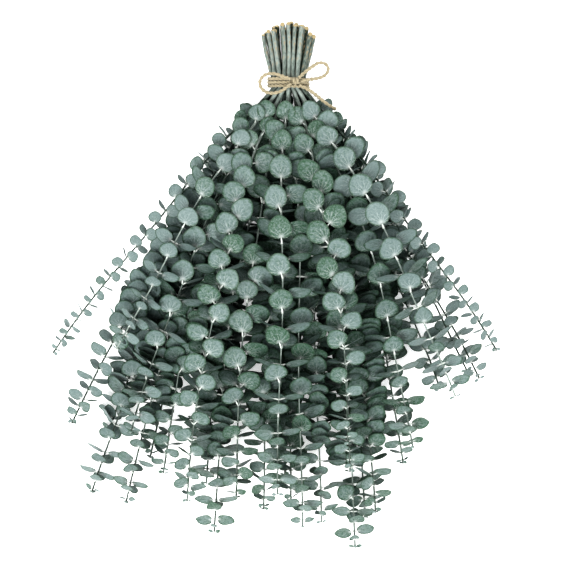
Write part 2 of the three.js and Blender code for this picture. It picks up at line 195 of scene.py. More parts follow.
# %% Lay out the branches
class Branch:
    """One branch of the plan: its layer, its slope, its line in stretches and its true curve."""

    def __init__(self, index, layer, column, columns, tip):
        self.index, self.layer = index, layer
        self.slope = abs(tip[0] / tip[1])
        self.start = (column - (columns - 1) / 2) * COLUMN_PITCH
        self.slim = float(smooth(self.slope, *SLIM_SLOPE))
        curve = self.plan(tip)
        whole = Line(curve, 0)
        cut_x = self.start * BUTT_SPREAD + BUTT_ASIDE * draw(index, 13)
        butt = BUTT_LENGTH + BUTT_UNEVEN * draw(index, 1) - BUTT_ROUND * cut_x**2
        cut = (cut_x, butt, float(height(cut_x, butt, layer)))
        neck = (self.start, NECK_HALF, float(height(self.start, 0.0, layer)))
        self.stations = [d for d in STRETCHES if d < whole.tip - SHORTEST_STRETCH] + [whole.tip]
        self.line = Line([cut, neck, *whole.at(self.stations)], 2)
        self.curve = Line([cut, neck, *curve], 2)

    def plan(self, tip):
        """Points of the true curve: a quadratic curve from the neck by a bend to the tip, and a wave across
        it that dies out at both ends."""
        side = smooth(self.slope / SIDE_SLOPE)
        bend_x = mix(self.start, tip[0], mix(*BEND_OUT, side))
        bend_y = tip[1] * mix(*BEND_DOWN, side)
        t = np.arange(CURVE_STEPS + 1) / CURVE_STEPS
        wave = WAVE * 4 * t * (1 - t) * np.sin(WAVE_HALF_TURNS * np.pi * t + np.pi * draw(self.index, 2))
        x = (1 - t) ** 2 * self.start + 2 * t * (1 - t) * bend_x + t * t * tip[0] + wave
        y = (1 - t) ** 2 * -NECK_HALF + 2 * t * (1 - t) * bend_y + t * t * tip[1]
        y[0] = -NECK_HALF
        return np.stack((x, y, height(x, y, self.layer)), 1)

    def true_point(self, distance):
        """The point of the true curve that belongs to a distance along the stretches."""
        return self.curve.at(np.interp(distance, self.line.along[2:], self.stations))


branches = []
for layer, tips in enumerate(LAYER_TIPS):
    for column, tip in enumerate(tips):
        branches.append(Branch(len(branches), layer, column, len(tips), tip))
lengths = [b.line.tip - b.line.butt for b in branches]
print(len(branches), "stems,", round(min(lengths)), "to", round(max(lengths)), "mm long")

# %% [markdown]
# ## Where the leaves stand
# Eucalyptus of this kind has round leaves in opposite pairs, each pair turned a quarter round the stem from
# the one before. Leaves beside the stem stand off it, and those above or below it are pressed flat in the
# heap. They could be scattered over the stems, but then many would cut through each other. Here they are
# placed one by one. A leaf that would cross a stem, the twine or another leaf is turned or bent a little,
# made smaller, or left out. The leaves that the solids hold come first, in the solids' own order, so they
# lie where the solids have them.

# %% Leaf pairs along a stem
LEAF_RADIUS = 9.8
# Distances along the stem. Of two values in brackets, the second is for slim branches
FIRST_PAIR, FIRST_PAIR_DRAW, LAST_PAIR = 40, 9, 1.5
NODE_SPACING, TWIG_SPACING, TIP_SPACING = 14.5, (6.5, 7.5), 3.8
CLOSER_FROM_TIP, TIP_PART = (80, 200), 14
# Sizes of blades as shares of LEAF_RADIUS, and the distances over which they change
FIRST_BLADE, GROWN_AFTER = 0.84, 60
FULL_BLADE, TWIG_BLADE, TWIG_LENGTH = (1, 0.66), (0.72, 0.45), (120, 240)
TIP_BLADE, TIP_BLADE_PART, BLADE_DRAW = 0.22, 13, 0.07


def leaf_pairs(branch):
    """Numbers of the leaf pairs, their distances from the neck, and what is left to the tip. The spacing is
    even on the stem and closes up along the twig, and again just before the tip."""
    at, places = FIRST_PAIR + FIRST_PAIR_DRAW * draw(branch.index, 3), []
    spacing = mix(*TWIG_SPACING, branch.slim)
    while at < branch.line.tip - LAST_PAIR:
        left = branch.line.tip - at
        places.append((len(places), at, left))
        twig = mix(TIP_SPACING, spacing, smooth(left / TIP_PART))
        at += twig + (NODE_SPACING - spacing) * smooth(left / mix(*CLOSER_FROM_TIP, branch.slim))
    return places


def leaf_radius(branch, at, left):
    """The first blades are not the largest, and those on the last of the twig get small. Branches at the
    sides are slimmer: theirs are small for longer."""
    grown = mix(FIRST_BLADE, 1, smooth(at, FIRST_PAIR, GROWN_AFTER))
    twig = mix(*TWIG_BLADE, branch.slim)
    more = (mix(*FULL_BLADE, branch.slim) - twig) * smooth(left / mix(*TWIG_LENGTH, branch.slim))
    tapered = mix(TIP_BLADE, twig, smooth(left / TIP_BLADE_PART)) + more
    return LEAF_RADIUS * grown * tapered * (1 + BLADE_DRAW * draw(branch.index, 4))


print("leaf pairs on a stem:", [len(leaf_pairs(b)) for b in branches])

# %% Leaf poses
PETIOLE = 2.6
# Angles in degrees: round the stem, back from it, and of a face turned up, for old and young leaves
TURN_PER_PAIR, TURN_JITTER, FIRST_TURN_DRAW = 90, 14, 15
LEAN, LEAN_JITTER, FACE_UP, TWIST = 16, 9, (24, 40), 16
# How flat leaves above the stem are pressed, and those below it, by layer; where that starts; which way
PRESSED, PRESSED_BELOW, PRESSED_FROM = 0.9, [0.9, 0.9, 0.6, 0.3, 0.3], (0.2, 0.5)
PRESSED_ASIDE, PRESSED_BACK, PRESSED_LIFT, LIFT_PER_DEGREE = 0.65, 0.8, 0.42, 0.012
# How much less young leaves lean and are pressed, and where on the twig leaves are young
YOUNG_LEAN, YOUNG_PRESSED, YOUNG_FROM_TIP = 0.8, 0.5, (10, 120)
# Bends that a leaf may take to get clear, turn and lean, tried in this order
BENDS = np.array(
    [(0, 0), (0, 14), (0, -14), (16, 0), (-16, 0), (16, 14), (-16, 14), (16, -14), (-16, -14)]
    + [(0, 28), (30, 0), (-30, 0), (30, 20), (-30, 20), (0, -28), (45, 10), (-45, 10)],
    float,
)


def young_share(left):
    """1 at the tip of a twig, falling to 0 where its leaves are fully grown."""
    return 1 - smooth(left, *YOUNG_FROM_TIP)


def leaf_poses(branch, place, side, size):
    """Poses of one leaf for every bend: root, midrib, face and middle of its disc; its radius and reach."""
    pair, at, left = place
    line, index = branch.line, branch.index
    turns, leans = BENDS[:, :1], BENDS[:, 1:]
    forward = unit(line.at(at + 3) - line.at(at - 3))
    up = unit(np.array((0, 0, 1)) - forward[2] * forward)
    across = np.cross(forward, up)
    first = TURN_PER_PAIR / 2 * (1 + index % 2) + FIRST_TURN_DRAW * draw(index, 0)
    jitter = TURN_JITTER * draw(index, pair, side, 5)
    angle = np.radians(first + TURN_PER_PAIR * pair + 180 * side + jitter + turns)
    outward = np.cos(angle) * across + np.sin(angle) * up
    young = young_share(left)
    back = LEAN * (1 - YOUNG_LEAN * young) + LEAN_JITTER * draw(index, pair, side, 6)
    back = np.radians(back + leans)
    along = np.cos(back) * outward - np.sin(back) * forward
    face = np.sin(back) * outward + np.cos(back) * forward
    twist = np.radians(mix(*FACE_UP, young) * np.cos(angle) + TWIST * draw(index, pair, side, 7))
    face = np.cos(twist) * face + np.sin(twist) * np.cross(along, face)
    sense = np.where(np.sin(angle) < 0, -1.0, 1.0)
    most = PRESSED * np.where(sense < 0, PRESSED_BELOW[branch.layer], 1) * (1 - YOUNG_PRESSED * young)
    flat = most * smooth(np.abs(np.sin(angle)), *PRESSED_FROM)
    lift = sense * (PRESSED_LIFT - LIFT_PER_DEGREE * leans)
    pressed = unit(PRESSED_ASIDE * np.cos(angle) * across - PRESSED_BACK * forward + lift * up)
    along = unit(mix(along, pressed, flat))
    face = mix(face, sense * up, flat)
    face = unit(face - dot(face, along)[:, None] * along)
    radius = size * leaf_radius(branch, at, left)
    stem = line.radius(at)
    root = line.at(at) + 0.5 * stem * outward
    reach = 0.5 * stem + PETIOLE * (radius / LEAF_RADIUS) ** 2 + radius
    return root, along, face, root + reach * along, radius, reach


# %% [markdown]
# ## Leaves that keep clear
# To the placing rule a leaf is a flat disc. Whole meshes could be tested against each other, but thousands
# of such tests are slow. Two discs cross where the line that their planes share runs through both at one
# place, and that is quick to work out for all neighbours at once.

# %% Distances between discs
RIM_POINTS = 8


def spokes(number, across, up):
    """Directions to even points of circles: cosine times one axis of each and sine times the other."""
    angle = np.arange(number)[:, None] * 2 * np.pi / number
    return np.cos(angle) * across[:, None] + np.sin(angle) * up[:, None]


def disc_points(middle, along, face, radius):
    """The middle of each disc and points on its rim."""
    rim = np.reshape(radius, (-1, 1, 1)) * spokes(RIM_POINTS, along, np.cross(along, face))
    return np.concatenate((middle[:, None], middle[:, None] + rim), 1)


def disc_distance(offset, face, radius):
    """Distance to a disc of points given by their offset from its middle."""
    rise = dot(offset, face)
    out = np.sqrt(np.maximum(0, dot(offset, offset) - rise * rise)) - radius
    return np.where(out > 0, np.hypot(rise, out), np.abs(rise))


def discs_cross(a_middle, a_face, a_radius, b_middle, b_face, b_radius):
    """True where two discs cut each other: their planes' common line runs through both at one place."""
    line = np.cross(a_face[:, None], b_face[None])
    size = np.maximum(dot(line, line), 1e-6)[..., None]
    a_height = dot(a_face, a_middle)[:, None, None]
    b_height = dot(b_face, b_middle)[None, :, None]
    start = (np.cross(b_face[None], line) * a_height + np.cross(line, a_face[:, None]) * b_height) / size
    line = line / np.sqrt(size)
    ends = []
    for middle, radius in ((a_middle[:, None], a_radius), (b_middle[None], b_radius)):
        offset = middle - start
        at = dot(offset, line)
        half = radius**2 - (dot(offset, offset) - at * at)
        ends.append((at, np.where(half > 0, np.sqrt(np.abs(half)), -1e9)))
    return np.abs(ends[0][0] - ends[1][0]) < ends[0][1] + ends[1][1]


# %% Routes of the twine
TWINE_RADIUS = 1.5
WRAP_HALF_WIDTH, WRAP_HALF_HEIGHT = 15.2, 10.3
WRAP_TOP = NECK_HEIGHT + WRAP_HALF_HEIGHT + 2 * TWINE_RADIUS
# Points of the bow's loops and of the free end: x and y from the tie, and z from the top of the wraps
LEFT_LOOP = [
    (2, 2.2, 3.2), (-5, 4.8, 3), (-12, 7, 2), (-18.5, 6.8, -0.1), (-23.4, 3, -2.1), (-24.2, -2.4, -2.9),
    (-20.5, -7.4, -2.1), (-14, -9.4, -0.3), (-6.5, -7.8, 1.3), (-0.5, -3.8, 2.2), (2.1, -1.3, 2.3),
]
RIGHT_LOOP = [
    (8.9, 3.3, 2.9), (13.6, 7.8, 2.2), (19.6, 12.6, -0.1), (26, 16.4, -2.7), (31.8, 15.6, -4.7),
    (34, 10.8, -5.5), (31, 6, -4.7), (25, 3.4, -2.5), (17.5, 2.1, 0.6), (10.2, 0.4, 1.9),
]
FREE_END = [
    (9, -2.9, 2), (15, -5.4, 0.4), (21.5, -9.4, -1.6),
    (28, -14.6, -3.2), (34.5, -19.4, -4.4), (40.5, -23, -5),
]


def spline(route, step):
    """A smooth curve through a route's points, resampled at even steps: each span is a cubic whose slope at
    a point is half the way between that point's neighbours."""
    route = np.asarray(route, float)
    ends = np.concatenate(([2 * route[0] - route[1]], route, [2 * route[-1] - route[-2]]))
    a, b, c, d = ends[:-3, None], ends[1:-2, None], ends[2:-1, None], ends[3:, None]
    t = np.linspace(0, 1, 40, endpoint=False)[None, :, None]
    cubic = b + 0.5 * t * (c - a + t * (2 * a - 5 * b + 4 * c - d + t * (3 * (b - c) + d - a)))
    line = Line(np.concatenate((cubic.reshape(-1, 3), route[-1:])), 0)
    return line.at(np.linspace(0, line.tip, max(2, int(round(line.tip / step)) + 1)))


def twine_route(points, step=0.6):
    """A loop's or the free end's route, its heights counted from the top of the wraps."""
    return spline(np.array(points) + (0, 0, WRAP_TOP), step)


# %% What leaves have to clear
OBSTACLE_STEP, TWINE_STEP, NO_BRANCH = 2.5, 2, -1
stem_points, stem_radii, stem_owner = [], [], []
for branch in branches:
    at = np.arange(branch.line.butt, branch.line.tip + OBSTACLE_STEP, OBSTACLE_STEP)
    stem_points.append(branch.line.at(at))
    stem_radii.append(branch.line.radius(at))
    stem_owner.append(np.full(len(at), branch.index))
for route in (LEFT_LOOP, RIGHT_LOOP, FREE_END):
    points = twine_route(route, TWINE_STEP)
    stem_points.append(points)
    stem_radii.append(np.full(len(points), TWINE_RADIUS))
    stem_owner.append(np.full(len(points), NO_BRANCH))
stem_points, stem_radii, stem_owner = map(np.concatenate, (stem_points, stem_radii, stem_owner))
print(len(stem_points), "points to stay clear of")

# %% Leaves placed so far
# Room over the table, how far past a leaf's reach others are looked for, and the sizes that are tried
LEAF_THICKNESS, NEAR = 0.7, 4
LEAF_SIZES = [1, 0.85, 0.7]


class Leaves:
    """The leaves placed so far, as one array for each thing known of them."""

    def __init__(self, room):
        self.count = 0
        self.middle, self.along, self.face, self.root = (np.zeros((room, 3)) for _ in range(4))
        self.radius, self.reach, self.at, self.left = (np.zeros(room) for _ in range(4))
        self.owner, self.pair, self.side = (np.zeros(room, int) for _ in range(3))

    def clear_pose(self, branch, place, poses, leaf_gap, stem_gap):
        """The first bend that clears the table, the stems, the twine and the other leaves, or none."""
        root, along, face, middle, radius, reach = poses
        good = middle[:, 2] - radius * np.sqrt(1 - face[:, 2] ** 2) >= LEAF_THICKNESS
        room = reach + radius + NEAR
        near = (np.abs(stem_points - root[0]).max(1) < room) & (stem_owner != branch.index)
        offset = stem_points[near][None] - middle[:, None]
        apart = disc_distance(offset, face[:, None], radius) - stem_radii[near]
        good &= (apart >= stem_gap).all(1)
        if not good.any():
            return None
        n = self.count
        far = np.linalg.norm(self.middle[:n] - root[0], axis=1) > room + self.radius[:n]
        same = (self.owner[:n] == branch.index) & (self.pair[:n] == place[0])
        others = np.flatnonzero(~far & ~same)
        if len(others):
            good &= ~self.hits(others, along, face, middle, radius, leaf_gap).any(1)
        return int(np.argmax(good)) if good.any() else None

    def hits(self, others, along, face, middle, radius, gap):
        """For each bend and each of the other leaves, whether the two cross or come nearer than the gap."""
        b_middle, b_face, b_radius = self.middle[others], self.face[others], self.radius[others]
        b_along = self.along[others]
        between = np.linalg.norm(middle[:, None] - b_middle[None], axis=2)
        close = between <= radius + b_radius + gap
        half = gap / 2
        hit = discs_cross(middle, face, radius + half, b_middle, b_face, b_radius + half)
        mine = disc_points(middle, along, face, radius)[:, None] - b_middle[None, :, None]
        hit |= (disc_distance(mine, b_face[None, :, None], b_radius[None, :, None]) < gap).any(2)
        theirs = disc_points(b_middle, b_along, b_face, b_radius)[None] - middle[:, None, None]
        hit |= (disc_distance(theirs, face[:, None, None], radius) < gap).any(2)
        return hit & close

    def add(self, branch, place, side, leaf_gap, stem_gap):
        """Adds a leaf at its largest size that clears everything, and says whether there was one."""
        for size in LEAF_SIZES:
            poses = leaf_poses(branch, place, side, size)
            found = self.clear_pose(branch, place, poses, leaf_gap, stem_gap)
            if found is None:
                continue
            i = self.count
            self.root[i], self.along[i], self.face[i], self.middle[i] = (p[found] for p in poses[:4])
            self.radius[i], self.reach[i] = poses[4:]
            self.owner[i], self.pair[i], self.side[i] = branch.index, place[0], side
            self.at[i], self.left[i] = place[1:]
            self.count += 1
            return True
        return False


# %% Which pairs to place
# The solids hold every seventh pair and the last one. The others follow, and a tiny one right at each tip
MADE_PAIR, MADE_SHIFT, END_PAIR = 7, 3, 0.3
# Real leaves shut out the table. Here the lower layers do it: each has this many more pairs between the
# others, numbered past all of them, and the lowest two layers have two pairs before the first
EXTRA_PAIRS, FIRST_BETWEEN = [4, 4, 3, 0, 0], 501
NECK_PAIRS, NECK_LAYERS = (18, 9), 2
# They stop this far from the tip: in the middle of the bunch, beside it past a slope, and on slim branches
OPEN_MIDDLE, OPEN_BESIDE, OPEN_SLIM, BESIDE_SLOPE = 55, 90, 45, (0.2, 0.15)


def pairs_between(branch, pairs):
    """Distances from the neck of the added pairs, evenly spread between a branch's own pairs."""
    extra = EXTRA_PAIRS[branch.layer]
    beside = smooth(branch.slope, *BESIDE_SLOPE)
    open_end = mix(mix(OPEN_MIDDLE, OPEN_BESIDE, beside), OPEN_SLIM, branch.slim)
    between = [pairs[0][1] - d for d in NECK_PAIRS] if branch.layer < NECK_LAYERS else []
    for a, b in zip(pairs, pairs[1:]):
        if b[2] > open_end:
            between += [mix(a[1], b[1], (k + 1) / (extra + 1)) for k in range(extra)]
    return between


made_places, rest_places = [], []
for branch in reversed(branches):
    pairs = leaf_pairs(branch)
    for place in pairs:
        made = (place[0] + MADE_SHIFT * branch.index) % MADE_PAIR == 0 or place[0] == len(pairs) - 1
        (made_places if made else rest_places).append((branch, place))
for branch in branches:
    pairs = leaf_pairs(branch)
    rest_places.append((branch, (len(pairs), branch.line.tip - END_PAIR, END_PAIR)))
    for i, at in enumerate(pairs_between(branch, pairs)):
        rest_places.append((branch, (i + FIRST_BETWEEN, at, branch.line.tip - at)))
print(len(made_places), "pairs as in the solids, and", len(rest_places), "more")

# %% Place the leaves
# The solids keep more room, because they may not touch
MADE_LEAF_GAP, MADE_STEM_GAP = 1.7, 0.9
REST_LEAF_GAP, REST_STEM_GAP = 0.8, 0.4
leaves = Leaves(6000)
for branch, place in made_places:
    for side in (0, 1):
        leaves.add(branch, place, side, MADE_LEAF_GAP, MADE_STEM_GAP)
made_count = leaves.count
left_out = 0
for branch, place in rest_places:
    for side in (0, 1):
        left_out += not leaves.add(branch, place, side, REST_LEAF_GAP, REST_STEM_GAP)
print(made_count, "leaves as in the solids,", leaves.count - made_count, "more,", left_out, "left out")

# %% Compare with the solids
FAR_OFF = 2


def solid_name(branch):
    """Name of the solid that a branch dresses."""
    return f"branch_{branch.index + 1:02d}"


def solid_corners(branch):
    """All corners of a branch's solid, in millimetres of the plan."""
    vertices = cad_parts[solid_name(branch)].data.vertices
    corners = np.empty(len(vertices) * 3)
    vertices.foreach_get("co", corners)
    return corners.reshape(-1, 3) * 1000 - ORIGIN


corners = [solid_corners(branch) for branch in branches]
tips = leaves.middle + leaves.radius[:, None] * leaves.along
misses = [np.linalg.norm(corners[leaves.owner[i]] - tips[i], axis=1).min() for i in range(made_count)]
print("leaf tips lie", round(float(np.median(misses)), 2), "mm from the solids' in the middle,")
print(int((np.array(misses) > FAR_OFF).sum()), "of them further than", FAR_OFF, "mm")

# %% [markdown]
# ## From arrays to pieces
# A piece is a mesh whose place is in its vertices, so its object stays at the origin. Vertices could be
# added one at a time, but with so many faces that is slow. One function puts whole arrays into a mesh, with
# a UV map, a number for each point and a material for each face.


# %% Mesh from arrays
def make_piece(name, points, faces, materials, face_material=0, uv=None, numbers=None, sharp=None):
    """Object from points in millimetres of the plan and a list of faces, riding on the bunch. An edge is
    sharp where both its ends are marked sharp."""
    mesh = bpy.data.meshes.new(name)
    mesh.from_pydata((np.asarray(points) + ORIGIN) / 1000, [], faces)
    for material in materials:
        mesh.materials.append(material)
    mesh.polygons.foreach_set("material_index", np.broadcast_to(face_material, len(faces)).astype(np.int32))
    mesh.polygons.foreach_set("use_smooth", np.ones(len(faces), bool))
    if uv is not None:
        corner = np.empty(len(mesh.loops), np.int32)
        mesh.loops.foreach_get("vertex_index", corner)
        mesh.uv_layers.new(name="surface").data.foreach_set("uv", np.asarray(uv, np.float32)[corner].ravel())
    for label, values in (numbers or {}).items():
        layer = mesh.attributes.new(label, "FLOAT", "POINT")
        layer.data.foreach_set("value", np.asarray(values, np.float32))
    if sharp is not None:
        ends = np.empty(len(mesh.edges) * 2, np.int32)
        mesh.edges.foreach_get("vertices", ends)
        mesh.edges.foreach_set("use_edge_sharp", np.asarray(sharp)[ends.reshape(-1, 2)].all(1))
    mesh.update()
    piece = bpy.data.objects.new(name, mesh)
    bpy.context.scene.collection.objects.link(piece)
    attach(piece, "root")
    return piece


def ring_faces(rings, sides):
    """Four-cornered faces between neighbouring rings of points, all pointing out."""
    i, j = np.meshgrid(np.arange(rings - 1) * sides, np.arange(sides), indexing="ij")
    k = (j + 1) % sides
    return np.stack((i + j, i + k, i + sides + k, i + sides + j), -1).reshape(-1, 4)


def tube(path, radii, sides, across, up):
    """A closed tube: round rings of the given radii along a path, and a face across each end, the first one
    last but one in the list."""
    points = path[:, None] + np.reshape(radii, (-1, 1, 1)) * spokes(sides, across, up)
    faces = ring_faces(len(path), sides).tolist()
    last = (len(path) - 1) * sides
    faces += [list(range(sides))[::-1], list(range(last, last + sides))]
    return points.reshape(-1, 3), faces


# %% [markdown]
# ## Colours
# Colours are written as the hex values that a colour picker shows, and one function turns them to the
# linear numbers that the shader works with. One more function adds a node with its settings and links.
# Sockets without a plain name go by number: a Map Range node counts value, from low, from high, to low, to
# high.


# %% Colour and node helpers
def colour(code):
    """Linear red, green, blue and alpha from an sRGB hex code."""
    srgb = np.array([int(code[i : i + 2], 16) for i in (1, 3, 5)]) / 255
    linear = np.where(srgb <= 0.04045, srgb / 12.92, ((srgb + 0.055) / 1.055) ** 2.4)
    return (*linear.tolist(), 1.0)


def add_node(tree, kind, sockets=None, **settings):
    """Adds a node, sets what it says, and fills its sockets with values or with (node, output) links."""
    node = tree.nodes.new("ShaderNode" + kind)
    for name, value in settings.items():
        setattr(node, name, value)
    for name, value in (sockets or {}).items():
        if isinstance(value, tuple) and isinstance(value[0], bpy.types.Node):
            tree.links.new(value[0].outputs[value[1]], node.inputs[name])
        else:
            node.inputs[name].default_value = value
    return node


def new_material(name, **sockets):
    """An empty material with its Principled shader, and the constants on the shader's own sockets."""
    material = bpy.data.materials.new(name)
    material.use_nodes = True
    shader = material.node_tree.nodes["Principled BSDF"]
    for label, value in sockets.items():
        shader.inputs[label.replace("_", " ")].default_value = value
    return material, material.node_tree, shader


# %% [markdown]
# ## Leaf finish
# The blade is a firm green leaf under a bluish bloom of wax, which is matt and scatters light. It is palest
# where the veins spread from the stalk and greenest at its rim. A photograph of a leaf could be laid on
# each blade, but then all would look alike. Here the veins and the rim follow the blade's own UV map,
# speckles and patches of wax are noise in real millimetres, and each leaf has a number, its tone, that says
# how much bloom it kept, with painted shade and painted light added in.

# %% Veins of a leaf
# Wax and a firm skin: nearly matt, with a weak gloss
WAX_PATCH = 3.0
VEIN_ANGLE, VEIN_STRAY = np.radians(24), 0.16

leaf_finish, tree, shader = new_material("waxy_leaf", Roughness=0.6, Specular_IOR_Level=0.35)
blade = add_node(tree, "UVMap", uv_map="surface")
tone = add_node(tree, "Attribute", attribute_name="tone")
place = add_node(tree, "TexCoord")
centred = {0: (blade, "UV"), 1: (2, 2, 0), 2: (-1, -1, 0)}
flat_xy = add_node(tree, "VectorMath", centred, operation="MULTIPLY_ADD")
from_base = add_node(tree, "VectorMath", {0: (flat_xy, 0), 1: (0, 0.8, 0)}, operation="ADD")
parts = add_node(tree, "SeparateXYZ", {0: (from_base, 0)})
bearing = add_node(tree, "Math", {0: (parts, 0), 1: (parts, 1)}, operation="ARCTAN2")
stray = add_node(tree, "TexNoise", {"Vector": (place, "Object"), "Scale": 1000 / WAX_PATCH, "Detail": 2.0})
stray = add_node(tree, "MapRange", {0: (stray, 0), 1: 0.2, 2: 0.8, 3: -VEIN_STRAY, 4: VEIN_STRAY})
bearing = add_node(tree, "Math", {0: (bearing, 0), 1: (stray, 0)}, operation="ADD")
spread = add_node(tree, "Math", {0: (bearing, 0), 1: 2 * np.pi / VEIN_ANGLE}, operation="MULTIPLY")
spoke = add_node(tree, "Math", {0: (spread, 0)}, operation="COSINE")
spoke = add_node(tree, "MapRange", {0: (spoke, 0), 1: 0.7, 2: 1.0, 3: 0.0, 4: 1.0})
reach = add_node(tree, "VectorMath", {0: (from_base, 0)}, operation="LENGTH")
fade = add_node(tree, "MapRange", {0: (reach, "Value"), 1: 0.05, 2: 1.3, 3: 0.66, 4: 0.0})
vein = add_node(tree, "Math", {0: (spoke, 0), 1: (fade, 0)}, operation="MULTIPLY")
heart = add_node(tree, "MapRange", {0: (reach, "Value"), 1: 0.04, 2: 0.34, 3: 0.7, 4: 0.0})
pale = add_node(tree, "Math", {0: (vein, 0), 1: (heart, 0)}, operation="MAXIMUM")
print("veins:", round(np.degrees(VEIN_ANGLE)), "degrees apart")

# %% Bloom and colours of a leaf
# Real speckles of wax are finer. They are drawn as coarse as they need to be to show
SPECKLE = 1.4

out = add_node(tree, "VectorMath", {0: (flat_xy, 0)}, operation="LENGTH")
rim = add_node(tree, "MapRange", {0: (out, "Value"), 1: 0.74, 2: 1.0, 3: 0.0, 4: 0.85})
edge = add_node(tree, "MapRange", {0: (out, "Value"), 1: 0.86, 2: 0.97, 3: 0.0, 4: 0.8})
fine = {"Vector": (place, "Object"), "Scale": 1000 / SPECKLE, "Detail": 3.0, "Roughness": 0.7}
speckle = add_node(tree, "TexNoise", fine)
speckle = add_node(tree, "MapRange", {0: (speckle, 0), 1: 0.4, 2: 0.65, 3: 0.0, 4: 0.42})
patch = add_node(tree, "TexNoise", {"Vector": (place, "Object"), "Scale": 1000 / WAX_PATCH, "Detail": 3.0})
wax_and_painted_light = add_node(tree, "MapRange", {0: (patch, 0), 1: 0.3, 2: 0.7, 3: -0.5, 4: 0.3})
# The tone adds the leaf's own bloom, and painted shade and painted light by where the leaf lies
wax_and_painted_light = add_node(tree, "Math", {0: (wax_and_painted_light, 0), 1: (tone, "Fac")}, operation="ADD")
wax_and_painted_light = add_node(tree, "Math", {0: (wax_and_painted_light, 0), 1: (rim, 0)}, operation="SUBTRACT", use_clamp=True)
blend = add_node(tree, "MixRGB", {0: (wax_and_painted_light, 0), 1: colour("#2b4c36"), 2: colour("#627270")})
blend = add_node(tree, "MixRGB", {0: (speckle, 0), 1: (blend, 0), 2: colour("#8b9694")})
blend = add_node(tree, "MixRGB", {0: (edge, 0), 1: (blend, 0), 2: colour("#324736")})
blend = add_node(tree, "MixRGB", {0: (pale, 0), 1: (blend, 0), 2: colour("#b0b5b3")})
tree.links.new(blend.outputs[0], shader.inputs["Base Color"])
relief = add_node(tree, "Math", {0: (vein, 0), 1: (speckle, 0)}, operation="ADD")
bump = add_node(tree, "Bump", {"Height": (relief, 0), "Strength": 0.25, "Distance": 0.0004})
tree.links.new(bump.outputs[0], shader.inputs["Normal"])
print("leaf finish:", len(tree.nodes), "nodes")

# %% [markdown]
# ## Bark and cut ends
# A young eucalyptus stem is smooth and green under the same pale bloom, with tan streaks where it turns to
# wood near the cut, and the cut shows pale wood. The streaks could be painted. Noise that is stretched
# along the UV map's second axis, which counts millimetres from the cut, gives them the same grain on every
# stem.

# %% Bark material
# Smooth bark with a dusty bloom: matt, with about five streaks round the stem, some five millimetres long.
# The noise is drawn out by these shares, round the stem and for each millimetre along it
STREAKS, WOODY_LENGTH = (3.0, 0.12, 1.0), 60.0

bark_finish, tree, shader = new_material("bloomed_bark", Roughness=0.65, Specular_IOR_Level=0.3)
along_stem = add_node(tree, "UVMap", uv_map="surface")
tone = add_node(tree, "Attribute", attribute_name="tone")
stretch = add_node(tree, "Mapping", {0: (along_stem, "UV"), "Scale": STREAKS})
streak = add_node(tree, "TexNoise", {"Vector": (stretch, 0), "Scale": 1.6, "Detail": 4.0})
bloom_and_painted_shade = add_node(tree, "MapRange", {0: (streak, 0), 1: 0.35, 2: 0.7, 3: -0.35, 4: 0.35})
# The tone adds the stem's own bloom, and painted shade on bare ends in the lower layers
bloom_and_painted_shade = add_node(tree, "Math", {0: (bloom_and_painted_shade, 0), 1: (tone, "Fac")}, operation="ADD", use_clamp=True)
blend = add_node(tree, "MixRGB", {0: (bloom_and_painted_shade, 0), 1: colour("#26352b"), 2: colour("#909a94")})
white = add_node(tree, "MapRange", {0: (tone, "Fac"), 1: 1.0, 2: 1.2, 3: 0.0, 4: 1.0})
blend = add_node(tree, "MixRGB", {0: (white, 0), 1: (blend, 0), 2: colour("#ccd1cc")})
from_cut = add_node(tree, "SeparateXYZ", {0: (along_stem, "UV")})
woody = add_node(tree, "MapRange", {0: (from_cut, 1), 1: 0.0, 2: WOODY_LENGTH, 3: 0.9, 4: 0.0})
tan = add_node(tree, "MapRange", {0: (streak, 0), 1: 0.54, 2: 0.6, 3: 0.0, 4: 1.0})
tan = add_node(tree, "Math", {0: (tan, 0), 1: (woody, 0)}, operation="MULTIPLY")
blend = add_node(tree, "MixRGB", {0: (tan, 0), 1: (blend, 0), 2: colour("#8a785a")})
tree.links.new(blend.outputs[0], shader.inputs["Base Color"])
bump = add_node(tree, "Bump", {"Height": (streak, 0), "Strength": 0.3, "Distance": 0.0003})
tree.links.new(bump.outputs[0], shader.inputs["Normal"])
print("bark:", len(tree.nodes), "nodes")

# %% Cut wood
# Freshly cut soft wood: dry, matt and pale
cut_finish, tree, shader = new_material("cut_wood", Roughness=0.85)
across_cut = add_node(tree, "UVMap", uv_map="surface")
grain = add_node(tree, "TexNoise", {"Vector": (across_cut, "UV"), "Scale": 9.0})
blend = add_node(tree, "MixRGB", {0: (grain, 0), 1: colour("#978866"), 2: colour("#b3a47f")})
tree.links.new(blend.outputs[0], shader.inputs["Base Color"])
print("cut wood:", len(tree.nodes), "nodes")

# %% [markdown]
# ## Blades
# The real blade is thin, round and a little cupped, folded and waved, and no two are alike. One blade could
# be modelled and copied, but copies show. This one is repeated over two thousand times, so it has only a
# few dozen faces: a grid of six by six drawn into a disc, once for the face and once for the back, meeting
# in a sharp rim. A formula then gives each leaf a cup, a fold, a wave and a curl of its own.

